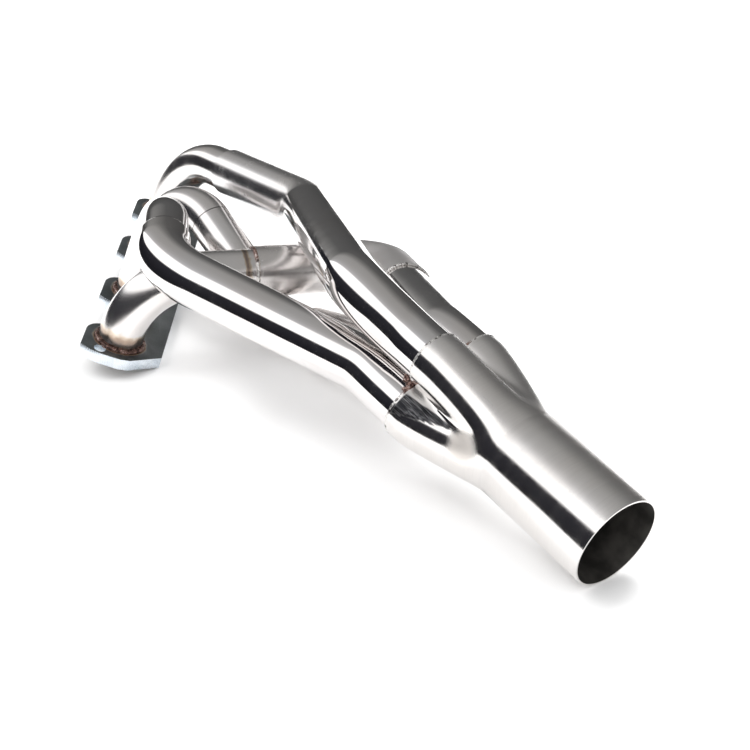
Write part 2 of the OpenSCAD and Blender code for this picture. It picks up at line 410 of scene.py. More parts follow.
def inside_painted_shade(name):
    """Unpolished inside of a tube, painted near black as shade."""
    material, tree = new_tree(name)
    where = tree.place()
    cloud = tree.noise(where, 60.0, 4.0)
    # Near-black colour is painted shade inside the tube, mottled by the noise.
    colour = tree.mix(cloud.ramp(0.3, 0.7), (0.030, 0.028, 0.026), (0.075, 0.070, 0.064))
    tree.surface(Base_Color=colour, Metallic=0.6, Roughness=cloud.ramp(0.3, 0.7, 0.45, 0.65),
                 Normal=tree.bump(cloud, 0.2, 0.0004))
    return material


def flange_face_steel(name, settings):
    """Dark satin plate, stained brown round each weld."""
    material, tree = new_tree(name)
    where = tree.place()
    cloud = tree.noise(where, 30.0, 4.0)
    grain = tree.noise(where, 900.0, 2.0)
    colour = tree.mix(cloud.ramp(0.3, 0.7), settings.plate, settings.plate_worn)
    colour = tree.mix(grain.ramp(0.5, 0.8, 0.0, 0.25), colour, (0.30, 0.32, 0.33))
    colour = heat_tint(tree, where, colour,
                       [(Vector(MOUNTS[f"port_{tube}"]["pos_m"]), 0.0225, 0.0035)
                        for tube in (1, 2, 3, 4)])
    tree.surface(Base_Color=colour, Metallic=0.85, Roughness=cloud.ramp(0.3, 0.7, 0.30, 0.42),
                 Normal=tree.bump(grain, 0.12, 0.0002))
    return material


def cut_edge_steel(name, settings):
    """Bright sawn edge of the plate, with fine lines across its thickness."""
    material, tree = new_tree(name)
    where = tree.place()
    cloud = tree.noise(where, 70.0, 3.0)
    lines = tree.noise(tree.vector("MULTIPLY", where, (1800.0, 1800.0, 60.0)), 1.0, 2.0)
    colour = tree.mix(cloud.ramp(0.3, 0.7), settings.cut_edge, (0.60, 0.66, 0.72))
    tree.surface(Base_Color=colour, Metallic=0.9, Roughness=lines.ramp(0.3, 0.8, 0.22, 0.40),
                 Normal=tree.bump(lines, 0.15, 0.00015))
    return material


def weld_metal(name, settings, burnt):
    """Rippled bead: silver with dark specks, and burnt brown near the given points."""
    material, tree = new_tree(name)
    where = tree.place()
    patches = tree.noise(where, 240.0, 3.0, 0.6)
    fine = tree.noise(where, 1500.0, 2.0)
    brown = tree.node("ShaderNodeValToRGB", {"stops": [
        (0.32, (0.030, 0.020, 0.018)),
        (0.47, tuple(settings.bead)),
        (0.60, (0.34, 0.23, 0.20)),
        (0.74, (0.68, 0.60, 0.58))]}, {"Fac": patches})
    silver = tree.mix(patches.ramp(0.36, 0.50), (0.10, 0.085, 0.08), (0.74, 0.72, 0.70))
    if burnt is None:
        colour = brown
    else:
        colour = silver
        for point, reach in burnt:
            away = tree.vector("DISTANCE", where, tuple(point), 1)
            near = (away / reach + (patches - 0.5) * 0.7).ramp(0.75, 1.05, 1.0, 0.0)
            colour = tree.mix(near, colour, brown)
    tree.surface(Base_Color=colour, Metallic=0.9,
                 Roughness=patches.ramp(0.3, 0.7, 0.16, 0.36),
                 Normal=tree.bump(fine, 0.3, 0.0003))
    return material


def floor_white(name):
    """Pale paper, very slightly mottled."""
    material, tree = new_tree(name)
    where = tree.place()
    cloud = tree.noise(where, 3.0, 2.0)
    fibre = tree.noise(where, 400.0, 2.0)
    colour = tree.mix(cloud, (0.93, 0.93, 0.93), (0.96, 0.96, 0.96))
    tree.surface(Base_Color=colour, Roughness=0.85, Normal=tree.bump(fibre, 0.02, 0.0002))
    return material


# ---- modelling helpers

# Rings of faces along each straight, and the way that spin turns
LINE_CUTS = 2
SPIN_SIGN = -1
# Distance within which two vertices are one, and the bend that still counts as flat
WELD_DISTANCE = 1e-5
FLAT_ANGLE = math.radians(0.5)
# Edges sharper than this stay sharp: on most pieces, and on a bead
SHARP_ANGLE = 40
SMOOTH_ALL_OVER = 180
# Grain of a bead's skin, the jitter of its ripples and the depth of its relief, both as
# shares of its height, and the size of that relief
BEAD_VOXEL = 0.00055
BEAD_JITTER = 0.12
BEAD_RELIEF = 0.35
BEAD_RELIEF_SIZE = 0.004
RIPPLE_OVERLAP = 1.05


def clear_selection():
    if bpy.context.object and bpy.context.object.mode != "OBJECT":
        bpy.ops.object.mode_set(mode="OBJECT")
    bpy.ops.object.select_all(action="DESELECT")


def make_active(piece):
    clear_selection()
    piece.select_set(True)
    bpy.context.view_layer.objects.active = piece


def add_object(name, data):
    made = bpy.data.objects.new(name, data)
    bpy.context.scene.collection.objects.link(made)
    return made


def edit_all(piece):
    """Enters edit mode with the whole piece selected."""
    make_active(piece)
    bpy.ops.object.mode_set(mode="EDIT")
    bpy.ops.mesh.select_all(action="SELECT")


def apply_modifier(piece, kind, **settings):
    make_active(piece)
    modifier = piece.modifiers.new(kind.title(), kind)
    for name, value in settings.items():
        setattr(modifier, name, value)
    bpy.ops.object.modifier_apply(modifier=modifier.name)


def finish_piece(piece, name, materials, nodes, angle=SHARP_ANGLE):
    """Names a finished piece, gives it its finish and says which nodes it stands for."""
    make_active(piece)
    bpy.ops.object.transform_apply()
    bpy.ops.object.shade_smooth_by_angle(angle=math.radians(angle))
    piece.name = name
    piece.data.name = name
    if not piece.data.materials:
        for material in materials:
            piece.data.materials.append(material)
    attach(piece, "root")
    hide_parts(*nodes)
    return piece


def round_edges(piece, width, angle):
    apply_modifier(piece, "BEVEL", width=width, segments=2, limit_method="ANGLE",
                   angle_limit=math.radians(angle))


def plate_copy(name, node, width):
    """A copy of a CAD plate with its triangles joined and its edges rounded."""
    clear_selection()
    piece = add_object(name, frame["nodes"][node].data.copy())
    piece.data.materials.clear()
    edit_all(piece)
    bpy.ops.mesh.remove_doubles(threshold=WELD_DISTANCE)
    bpy.ops.mesh.dissolve_limited(angle_limit=FLAT_ANGLE)
    bpy.ops.object.mode_set(mode="OBJECT")
    round_edges(piece, width, SHARP_ANGLE)
    return piece


def add_wall(piece, look, thickness):
    """Gives a skin in edit mode its wall, with one finish outside and one inside."""
    bpy.ops.mesh.select_all(action="SELECT")
    bpy.ops.mesh.normals_make_consistent(inside=False)
    bpy.ops.object.mode_set(mode="OBJECT")
    for material in look:
        piece.data.materials.append(material)
    apply_modifier(piece, "SOLIDIFY", thickness=thickness, offset=-1.0, material_offset=1,
                   material_offset_rim=0)


def start_ring(point, direction, radius, sides):
    """A ring of edges square to a direction, in edit mode and all selected."""
    clear_selection()
    turn = direction.to_track_quat("Z", "Y").to_euler()
    bpy.ops.mesh.primitive_circle_add(vertices=sides, radius=radius, fill_type="NOTHING",
                                      location=point, rotation=turn)
    bpy.ops.object.transform_apply()
    edit_all(bpy.context.object)
    return bpy.context.object


def pull(vector):
    bpy.ops.mesh.extrude_region_move(TRANSFORM_OT_translate={"value": vector})


def sweep(stages, radius, sides, step_degrees):
    """A thin tube along lines and bends, still in edit mode."""
    kind, start = stages[0][:2]
    direction = stages[0][3] if kind == "line" else stages[0][5]
    piece = start_ring(start, direction, radius, sides)
    for stage in stages:
        if stage[0] == "line":
            for _ in range(LINE_CUTS):
                pull((stage[2] - stage[1]) / LINE_CUTS)
        else:
            _, _, centre, axis, angle, _ = stage
            steps = max(4, round(math.degrees(angle) / step_degrees))
            bpy.ops.mesh.spin(steps=steps, angle=SPIN_SIGN * angle, center=centre, axis=axis)
    return piece


def tube_piece(name, stages, radius, settings, materials, nodes):
    """One tube with a wall, its outside along the given stages."""
    piece = sweep(stages, radius, settings.tube_sides, settings.bend_step)
    bpy.ops.mesh.select_all(action="SELECT")
    bpy.ops.mesh.remove_doubles(threshold=1e-6)
    add_wall(piece, materials, settings.wall)
    return finish_piece(piece, name, materials, nodes)


def ripple_bead(name, centre, axis, start, arc, shape, seed, material, nodes, lumps=()):
    """A bead laid round a tube: overlapping ripples, fused into one lumpy skin."""
    clear_selection()
    width, height, count = shape
    radial = start.normalized()
    along = axis.normalized()
    across = along.cross(radial).normalized()
    turn = Matrix((radial, across, along)).transposed().to_euler()
    pitch = arc * start.length / count
    bpy.ops.mesh.primitive_uv_sphere_add(segments=16, ring_count=10, radius=1.0,
                                         location=centre + start, rotation=turn,
                                         scale=(height, pitch * RIPPLE_OVERLAP, width / 2))
    bpy.ops.object.transform_apply()
    piece = bpy.context.object
    edit_all(piece)
    bpy.ops.mesh.spin(steps=count, angle=SPIN_SIGN * arc, center=centre, axis=along, dupli=True)
    for point, radius in lumps:
        bpy.ops.mesh.primitive_uv_sphere_add(segments=16, ring_count=10, radius=radius,
                                             location=point)
    bpy.ops.mesh.select_all(action="SELECT")
    bpy.ops.transform.vertex_random(offset=height * BEAD_JITTER, seed=seed)
    bpy.ops.object.mode_set(mode="OBJECT")
    apply_modifier(piece, "REMESH", mode="VOXEL", voxel_size=BEAD_VOXEL)
    relief = bpy.data.textures.new(name + "_relief", "CLOUDS")
    relief.noise_scale = BEAD_RELIEF_SIZE
    apply_modifier(piece, "DISPLACE", texture=relief, strength=height * BEAD_RELIEF,
                   mid_level=0.55, texture_coords="LOCAL")
    apply_modifier(piece, "SMOOTH", factor=0.5, iterations=2)
    return finish_piece(piece, name, [material], nodes, SMOOTH_ALL_OVER)


# ---- settings


def number_setting(name, description, default, unit="NONE"):
    return bpy.props.FloatProperty(name=name, description=description, default=default, unit=unit)


def length_setting(name, description, default):
    return number_setting(name, description, default, "LENGTH")


def colour_setting(name, description, default):
    return bpy.props.FloatVectorProperty(name=name, description=description, default=default,
                                         subtype="COLOR", min=0.0, max=1.0)


class ManifoldSizes(bpy.types.PropertyGroup):
    port_tube_d: length_setting("Port tube", "Outside diameter of a tube at its port", 0.040)
    run_tube_d: length_setting("Run tube", "Outside diameter after its slip joint", 0.045)
    wall: length_setting("Wall", "Wall thickness of every tube", 0.0015)
    outlet_d: length_setting("Outlet", "Outside diameter of the outlet pipe",
                             2 * MOUNTS["outlet_spigot"]["dims"]["r_mm"] * MM)
    tube_sides: bpy.props.IntProperty(
        name="Tube sides", description="Faces round each tube", default=96)
    bend_step: number_setting("Bend step", "Degrees of bend between two rings of faces", 2.0)
    bead_width: length_setting("Bead width", "Width of the bead at each port", 0.0058)
    plate_bevel: length_setting("Plate edge", "Rounding of the flange's edges", 0.0007)


class ManifoldFinishes(bpy.types.PropertyGroup):
    steel: colour_setting("Polished steel", "Tubes where they look neutral", (0.80, 0.78, 0.775))
    steel_warm: colour_setting("Warm steel", "Tubes where they look warm", (0.77, 0.735, 0.715))
    brushed: colour_setting("Brushed steel", "Collector, lighter patches", (0.81, 0.79, 0.775))
    brushed_warm: colour_setting("Warm brushed steel", "Collector, warmer patches",
                                 (0.79, 0.76, 0.735))
    plate: colour_setting("Plate", "Flange face", (0.10, 0.112, 0.115))
    plate_worn: colour_setting("Worn plate", "Flange face, lighter patches", (0.17, 0.185, 0.19))
    cut_edge: colour_setting("Cut edge", "Sawn edge of the flange", (0.78, 0.83, 0.88))
    bead: colour_setting("Weld", "Weld metal", (0.17, 0.10, 0.085))
    polish: number_setting("Polish", "Roughness of the polished tubes", 0.05)
    top_satin: number_setting("Top satin", "Roughness added to the collector's top", 0.22)
    brush_roughness: number_setting("Brushing", "Roughness of the brushed collector", 0.09)


class ManifoldStage(bpy.types.PropertyGroup):
    lens: number_setting("Lens", "Focal length in millimetres on a 36 mm frame", 82.05)


def settings_of(context):
    return (context.scene.manifold_sizes, context.scene.manifold_finishes,
            context.scene.manifold_stage)


_FINISHES = {}


def finish(name, make, *details):
    """A finish, made the first time that it is asked for."""
    if name not in _FINISHES:
        _FINISHES[name] = make(name, *details)
    return _FINISHES[name]


def tube_finish(tube, finishes, satin=0.0, seams=()):
    """Outside and inside of one length of tube; satin adds to the polish's roughness."""
    route = ROUTES[tube]
    slip = route.point(SLIP_LEG[tube], (SLIP_AT[tube] - 2) * MM)
    welds = [(route.corners[0], 0.021, 0.007)]
    if tube == 1:
        welds.append((slip, 0.0215, 0.0016))
    name = f"polished_tube_{tube}_{round(satin * 100)}_{len(seams)}"
    return [finish(name, polished_steel, finishes, welds, satin, seams),
            finish("sooty_inside", inside_painted_shade)]


# Roughness of each length of tube beyond a full polish
SATIN_PORT_1 = 0.14
SATIN_CROSSOVER_1 = 0.18
SATIN_ELBOW = 0.42
SATIN_RUN_1 = 0.05
SATIN_3 = 0.14
SATIN_PORT_4 = 0.10
SATIN_CROSSOVER_4 = 0.17
# Dark line just before tube 4's slip joint, in millimetres
SLIP_LINE_BACK = 3.2


def tube_setup(tube, sizes):
    """A tube's route, where its slip joint starts and ends, and its two outside radii."""
    slip = SLIP_AT[tube] * MM
    ends = (slip, slip + SLIP_DEPTH * MM)
    return ROUTES[tube], *ends, sizes.port_tube_d / 2, sizes.run_tube_d / 2


# ---- operators


class MANIFOLD_OT_flange(bpy.types.Operator):
    """Model the flange plate, with rounded edges and its cut sides bright"""

    bl_idname = "manifold.flange"
    bl_label = "Flange"

    def execute(self, context):
        sizes, finishes, _ = settings_of(context)
        piece = plate_copy("flange", "head_flange", sizes.plate_bevel)
        piece.data.materials.append(finish("flange_face", flange_face_steel, finishes))
        piece.data.materials.append(finish("flange_edge", cut_edge_steel, finishes))
        for face in piece.data.polygons:
            if abs(face.normal.dot(FLANGE_UP)) < 0.9:
                face.material_index = 1
        finish_piece(piece, "flange_plate", [], ["head_flange"])
        return {"FINISHED"}


class MANIFOLD_OT_tube_1(bpy.types.Operator):
    """Model tube 1: port bend, crossover, side elbow and run"""

    bl_idname = "manifold.tube_one"
    bl_label = "Tube 1"

    def execute(self, context):
        sizes, finishes, _ = settings_of(context)
        route, slip, slip_end, small, large = tube_setup(1, sizes)
        look = tube_finish(1, finishes, SATIN_PORT_1)
        laps = [lap * MM for lap in ELBOW_LAP]
        tube_piece("tube_1_port_bend",
                   [route.line(0), route.bend(1), route.line(1, 0, slip_end)],
                   small, sizes, look, ["primary_1_port_bend"])
        tube_piece("tube_1_crossover", [route.line(1, slip)], large, sizes,
                   tube_finish(1, finishes, SATIN_CROSSOVER_1), ["primary_1_crossover"])
        tube_piece("tube_1_side_bend",
                   [route.line(1, route.length(1) - laps[0]), route.bend(2),
                    route.line(2, 0, laps[1])],
                   large + ELBOW_STEP * MM, sizes, tube_finish(1, finishes, SATIN_ELBOW),
                   ["primary_1_side_bend"])
        tube_piece("tube_1_run", [route.line(2), route.bend(3), route.line(3)], large, sizes,
                   tube_finish(1, finishes, SATIN_RUN_1), ["primary_1_run"])
        return {"FINISHED"}


class MANIFOLD_OT_tube_2(bpy.types.Operator):
    """Model tube 2: riser and crown, front elbow and run"""

    bl_idname = "manifold.tube_two"
    bl_label = "Tube 2"

    def execute(self, context):
        sizes, finishes, _ = settings_of(context)
        route, slip, slip_end, small, large = tube_setup(2, sizes)
        look = tube_finish(2, finishes)
        tube_piece("tube_2_riser",
                   [route.line(0), route.bend(1), route.line(1, 0, slip_end)],
                   small, sizes, look, ["primary_2_riser"])
        tube_piece("tube_2_front_bend", [route.line(1, slip), route.bend(2)], large, sizes,
                   look, ["primary_2_front_bend"])
        tube_piece("tube_2_run",
                   [route.line(2), route.bend(3), route.line(3), route.bend(4), route.line(4)],
                   large, sizes, look, ["primary_2_run"])
        return {"FINISHED"}


class MANIFOLD_OT_tube_3(bpy.types.Operator):
    """Model tube 3: port bend, drop and low run"""

    bl_idname = "manifold.tube_three"
    bl_label = "Tube 3"

    def execute(self, context):
        sizes, finishes, _ = settings_of(context)
        route, slip, slip_end, small, large = tube_setup(3, sizes)
        look = tube_finish(3, finishes, SATIN_3, [(route.point(1, 0), route.heading(1))])
        tube_piece("tube_3_port_bend", [route.line(0), route.bend(1)], small, sizes, look,
                   ["primary_3_port_bend"])
        tube_piece("tube_3_drop",
                   [route.line(1), route.bend(2), route.line(2, 0, slip_end)],
                   small, sizes, look, ["primary_3_drop"])
        tube_piece("tube_3_run",
                   [route.line(2, slip), route.bend(3), route.line(3), route.bend(4),
                    route.line(4)],
                   large, sizes, look, ["primary_3_run"])
        return {"FINISHED"}


class MANIFOLD_OT_tube_4(bpy.types.Operator):
    """Model tube 4: port bend, crossover and last leg"""

    bl_idname = "manifold.tube_four"
    bl_label = "Tube 4"

    def execute(self, context):
        sizes, finishes, _ = settings_of(context)
        route, slip, slip_end, small, large = tube_setup(4, sizes)
        line_at = route.point(SLIP_LEG[4], slip - SLIP_LINE_BACK * MM)
        look = tube_finish(4, finishes, SATIN_PORT_4, [(line_at, route.heading(SLIP_LEG[4]))])
        tube_piece("tube_4_port_bend",
                   [route.line(0), route.bend(1), route.line(1, 0, slip_end)],
                   small, sizes, look, ["primary_4_port_bend"])
        tube_piece("tube_4_crossover", [route.line(1, slip), route.bend(2)], large, sizes,
                   tube_finish(4, finishes, SATIN_CROSSOVER_4), ["primary_4_crossover"])
        tube_piece("tube_4_run",
                   [route.line(2), route.bend(3), route.line(3), route.bend(4), route.line(4)],
                   large, sizes, tube_finish(4, finishes), ["primary_4_run"])
        return {"FINISHED"}


def clover(phase, lobe_r):
    """Distance from the collector's axis to the outside of a lobe, at a turn from its middle."""
    sideways = SOCKET_OFFSET * math.sin(phase)
    return SOCKET_OFFSET * math.cos(phase) + math.sqrt(max(0.0, lobe_r ** 2 - sideways ** 2))


def lobe_radius(turn, lobe_r, share):
    """The outline of the four lobes with their valleys rounded, wider towards the neck."""
    step = math.pi / 2
    phase = abs((turn - math.radians(COLLECTOR_TURN) + step / 2) % step - step / 2)
    width = math.radians(VALLEY_START + (VALLEY_END - VALLEY_START) * share)
    edge = step / 2 - width
    past = phase - edge
    if past <= 0:
        return clover(phase, lobe_r)
    sideways = SOCKET_OFFSET * math.sin(edge)
    root = math.sqrt(lobe_r ** 2 - sideways ** 2)
    slope = -sideways * (1 + SOCKET_OFFSET * math.cos(edge) / root)
    return clover(edge, lobe_r) + slope * (past - past * past / (2 * width))


# Faces along and round the merge, and the bend that stays sharp on it
MERGE_RINGS = 45
MERGE_SIDES = 144
MERGE_CREASE = 30
# Radius of the merge before its outline is set, and the bend that counts as a rim
MERGE_BLANK = 0.03
RIM_ANGLE = 60
# How late the lobes flatten, how softly they end, and the straight stretch beyond a socket
MERGE_EASE = 1.2
NECK_SOFTNESS = 0.08
MERGE_START = SOCKET_DEPTH + 2
# Half width of a valley in degrees, at the sockets and at the neck
VALLEY_START = 2
VALLEY_END = 14
# Play round a tube in its socket, the collector's wall, how far the outlet starts inside
# the merge, all in millimetres, and the rounding of a rim in metres
MERGE_GAP = 0.2
MERGE_WALL = 1.6
OUTLET_LAP = 0.35
RIM_BEVEL = 0.0003


def collector_finish(finishes):
    return [finish("brushed_collector", brushed_steel, finishes),
            finish("sooty_inside", inside_painted_shade)]


def merge_blend(share):
    """How far the lobes have flattened into the neck, 0 to 1, with a soft end."""
    raw = share ** MERGE_EASE * (1 + NECK_SOFTNESS)
    near = min(1.0, max(0.0, 0.5 + 0.5 * (1 - raw) / NECK_SOFTNESS))
    return raw * near + (1 - near) - NECK_SOFTNESS * near * (1 - near)


class MANIFOLD_OT_merge(bpy.types.Operator):
    """Model the merge, whose four lobes flatten into a round neck"""

    bl_idname = "manifold.merge"
    bl_label = "Merge"

    def execute(self, context):
        sizes, finishes, _ = settings_of(context)
        piece = start_ring(COLLECTOR.translation, OUTLET_DIR, MERGE_BLANK, MERGE_SIDES)
        for _ in range(MERGE_RINGS):
            pull(OUTLET_DIR * MERGE_LENGTH * MM / MERGE_RINGS)
        bpy.ops.object.mode_set(mode="OBJECT")
        neck = sizes.outlet_d / MM / 2
        lobe = sizes.run_tube_d / MM / 2 + MERGE_GAP + MERGE_WALL
        to_local = COLLECTOR.inverted()
        step = math.tau / MERGE_SIDES
        for vertex in piece.data.vertices:
            local = to_local @ vertex.co
            turn = math.atan2(local.y, local.x)
            along = local.z / MM
            turn -= (turn - math.radians(COLLECTOR_TURN) + step / 2) % step - step / 2
            share = max(0.0, (along - MERGE_START) / (MERGE_LENGTH - MERGE_START))
            blend = merge_blend(share)
            radius = lobe_radius(turn, lobe, share) * (1 - blend) + neck * blend
            vertex.co = in_collector(radius * math.cos(turn), radius * math.sin(turn), along)
        edit_all(piece)
        look = collector_finish(finishes)
        add_wall(piece, look, MERGE_WALL * MM)
        finish_piece(piece, "merge_shell", look, ["collector_merge"],
                     MERGE_CREASE)
        return {"FINISHED"}


class MANIFOLD_OT_outlet(bpy.types.Operator):
    """Model the outlet pipe, with a rounded rim"""

    bl_idname = "manifold.outlet"
    bl_label = "Outlet"

    def execute(self, context):
        sizes, finishes, _ = settings_of(context)
        start = in_collector(0, 0, MERGE_LENGTH - OUTLET_LAP)
        end = in_collector(0, 0, MERGE_LENGTH + OUTLET_LENGTH)
        piece = sweep([("line", start, end, OUTLET_DIR)], sizes.outlet_d / 2, MERGE_SIDES, 2)
        look = collector_finish(finishes)
        add_wall(piece, look, MERGE_WALL * MM)
        round_edges(piece, RIM_BEVEL, RIM_ANGLE)
        finish_piece(piece, "outlet_pipe", look, ["collector_outlet"])
        return {"FINISHED"}


class MANIFOLD_OT_plug(bpy.types.Operator):
    """Model the star-shaped plate between the four tubes"""

    bl_idname = "manifold.plug"
    bl_label = "Plug plate"

    def execute(self, context):
        _, finishes, _ = settings_of(context)
        piece = plate_copy("plug", "collector_plug", RIM_BEVEL)
        finish_piece(piece, "plug_plate",
                     collector_finish(finishes)[:1], ["collector_plug"])
        return {"FINISHED"}


# Beads: width, height and number of ripples; the width of a port bead is a setting
PORT_BEAD = (0.0024, 30)
SLIP_BEADS = {1: (0.0034, 0.0017, 46), 4: (0.0034, 0.0008, 46)}
ELBOW_BEAD = (0.003, 0.0014, 60)
SOCKET_BEAD = (0.0036, 0.0016, 34)
# How far a bead's middle stands off its tube or plate, and back from the slip joint
BEAD_STAND_OFF = 0.0008
ELBOW_STAND_OFF = 0.0009
SOCKET_STAND_OFF = 0.0006
PLATE_STAND_OFF = 0.0006
SLIP_BEAD_BACK = 0.0009
# The burnt top of tube 1's slip bead: how far below the tube's top, and its reach
SLIP_BURN_DROP = 0.0005
SLIP_BURN_REACH = 0.016
# A dressed ring: its length, how far back it starts, its play round the tube and its wall
RING_LENGTH = 0.0081
RING_BACK = 0.008
RING_START = 0.00005
RING_WALL = 0.0006
RING_STEPS = 4


class MANIFOLD_OT_port_welds(bpy.types.Operator):
    """Lay a bead round the foot of each tube"""

    bl_idname = "manifold.port_welds"
    bl_label = "Port welds"

    def execute(self, context):
        sizes, finishes, _ = settings_of(context)
        metal = finish("burnt_weld", weld_metal, finishes, None)
        for tube, route in ROUTES.items():
            centre = route.corners[0] + FLANGE_UP * PLATE_STAND_OFF
            start = Vector((0, 1, 0)) * (sizes.port_tube_d / 2 + BEAD_STAND_OFF)
            ripple_bead(f"port_bead_{tube}", centre, FLANGE_UP, start, math.tau,
                        (sizes.bead_width, *PORT_BEAD), tube, metal, [f"port_weld_{tube}"])
        return {"FINISHED"}


def ground_ring(name, start, axis, radii, sides, material, nodes):
    """A slip joint's weld dressed smooth: a polished cone from one tube to the next."""
    piece = start_ring(start, axis, radii[0], sides)
    widths = []
    for step in range(RING_STEPS + 1):
        share = step / RING_STEPS
        widths.append(radii[0] + (radii[1] - radii[0]) * share * share * (3 - 2 * share))
    for step in range(RING_STEPS):
        pull(axis * RING_LENGTH / RING_STEPS)
        middle = start + axis * RING_LENGTH * (step + 1) / RING_STEPS
        bpy.ops.transform.resize(value=[widths[step + 1] / widths[step]] * 3,
                                 center_override=middle)
    add_wall(piece, [material], RING_WALL)
    return finish_piece(piece, name, [material], nodes)


class MANIFOLD_OT_slip_welds(bpy.types.Operator):
    """Lay a bead in the step of each slip joint, and at the ends of the side elbow"""

    bl_idname = "manifold.slip_welds"
    bl_label = "Slip joint welds"

    def execute(self, context):
        sizes, finishes, _ = settings_of(context)
        plain = finish("silver_weld", weld_metal, finishes, [])
        slip_start = ROUTES[1].point(SLIP_LEG[1], SLIP_AT[1] * MM)
        crown = slip_start + Vector((0, 0, sizes.run_tube_d / 2 - SLIP_BURN_DROP))
        patchy = finish("patchy_weld", weld_metal, finishes, [(crown, SLIP_BURN_REACH)])
        small, large = sizes.port_tube_d / 2, sizes.run_tube_d / 2
        for tube, metal in ((1, patchy), (4, plain)):
            route, leg = ROUTES[tube], SLIP_LEG[tube]
            axis = route.heading(leg)
            centre = route.point(leg, SLIP_AT[tube] * MM - SLIP_BEAD_BACK)
            start = axis.orthogonal().normalized() * (small + BEAD_STAND_OFF)
            ripple_bead(f"slip_bead_{tube}", centre, axis, start, math.tau, SLIP_BEADS[tube],
                        10 + tube, metal, [f"slip_weld_{tube}"])
        for tube in (2, 3):
            route, leg = ROUTES[tube], SLIP_LEG[tube]
            start = route.point(leg, SLIP_AT[tube] * MM - RING_BACK)
            ground_ring(f"slip_ring_{tube}", start, route.heading(leg),
                        (small + RING_START, large), sizes.tube_sides,
                        tube_finish(tube, finishes)[0], [f"slip_weld_{tube}"])
        route = ROUTES[1]
        ends = ((1, 1, route.length(1) - ELBOW_LAP[0] * MM), (2, 2, ELBOW_LAP[1] * MM))
        for number, leg, at in ends:
            axis = route.heading(leg)
            start = axis.orthogonal().normalized() * (large + ELBOW_STAND_OFF)
            ripple_bead(f"elbow_bead_{number}", route.point(leg, at), axis, start, math.tau,
                        ELBOW_BEAD, 14 + number, plain, [f"elbow_weld_{number}"])
        return {"FINISHED"}


# How far a socket's bead goes round its tube, how far before the mouth it lies in
# millimetres, and the reach of the burnt colour round a heap
SOCKET_ARC = math.radians(215)
SOCKET_BEAD_AT = -0.8
HEAP_BURN_REACH = 0.013
# Heaped weld in the valleys between neighbouring sockets: the valley's turn from the first
# socket in degrees, the tube whose bead it joins, then (outward, sideways, along, radius)
VALLEYS = (
    (225, 2, ((29, 0, -14, 2.4), (29, 0, -9.5, 3.0), (32, 2, -6, 3.2), (29, 0, -2, 3.0),
              (32, 2.5, -11, 2.2), (34.5, 4, -2.5, 2.8), (37, 6, -5, 2.0), (38, 6.5, -1.5, 2.2),
              (33, -2.5, -2, 2.2))),
    (135, 1, ((29, 0, -6, 2.6), (29, 0, -1.5, 3.0), (32, 2, -1, 2.4), (32, -2, -1.5, 2.6),
              (35, 4, -1, 1.8), (35, -4, -1, 2.0), (37.5, -6, -0.5, 1.6))),
)


class MANIFOLD_OT_socket_welds(bpy.types.Operator):
    """Lay a bead where each tube enters its socket"""

    bl_idname = "manifold.socket_welds"
    bl_label = "Socket welds"

    def execute(self, context):
        sizes, finishes, _ = settings_of(context)
        heaps = {}
        for turn, tube, spots in VALLEYS:
            angle = math.radians(COLLECTOR_TURN + turn)
            spin = Matrix.Rotation(angle, 3, "Z")
            heaps[tube] = [(in_collector(*(spin @ Vector(at))), radius * MM)
                           for *at, radius in spots]
        burnt = [(spots[2][0], HEAP_BURN_REACH) for spots in heaps.values()]
        metal = finish("socket_weld", weld_metal, finishes, burnt)
        for tube in ROUTES:
            centre = socket_point(tube, SOCKET_BEAD_AT)
            turn = socket_angle(tube) - SOCKET_ARC / 2
            reach = sizes.run_tube_d / 2 + SOCKET_STAND_OFF
            start = COLLECTOR.to_3x3() @ Vector((math.cos(turn), math.sin(turn), 0)) * reach
            ripple_bead(f"socket_bead_{tube}", centre, OUTLET_DIR, start, SOCKET_ARC,
                        SOCKET_BEAD, 20 + tube, metal, [f"socket_weld_{tube}"],
                        heaps.get(tube, ()))
        return {"FINISHED"}


# Camera square to the flange: place in millimetres, and its right and forward directions
CAMERA_AT = (28.8, -1470.2, 750.45)
CAMERA_RIGHT = (0.94480, 0.03326, 0.32595)
CAMERA_FORWARD = (0.12804, 0.87824, -0.46077)

# Level direction of the long softbox, the brightness of its reflection and of the light
# that falls on everything
SOFTBOX_SIDE = (-0.848, -0.530)
ROOM_GAIN = 1.5
DAYLIGHT = 1.3
# The reflected room, in a sweep from the floor on the softbox's side (0 degrees) over the
# top (90) and down the far side (180): degrees, brightness, and blue against red and green
ROOM = (
    (0, 0.010, 1.3), (27, 0.016, 1.3), (32, 0.030, 1.2), (35.5, 1.0, 1.0), (65, 1.0, 1.0),
    (70, 0.38, 1.03), (80, 0.30, 1.0), (92, 0.26, 0.99), (112, 0.23, 0.98), (128, 0.13, 0.98),
    (142, 0.075, 1.0), (165, 0.06, 1.0), (180, 0.05, 1.0),
)
# Edges of the paper: low x, low y, high x, high y
PAPER = (-0.45, -0.66, 1.5, 1.1)
# Lamps above the paper: name, place, size and power, all aimed at one point
LAMPS = (("key", (0.9, 0.9, 1.6), 0.9, 26.0), ("fill", (-0.8, -0.4, 1.5), 0.8, 8.0))
LAMPS_AIM = (0.2, -0.15, 0.05)


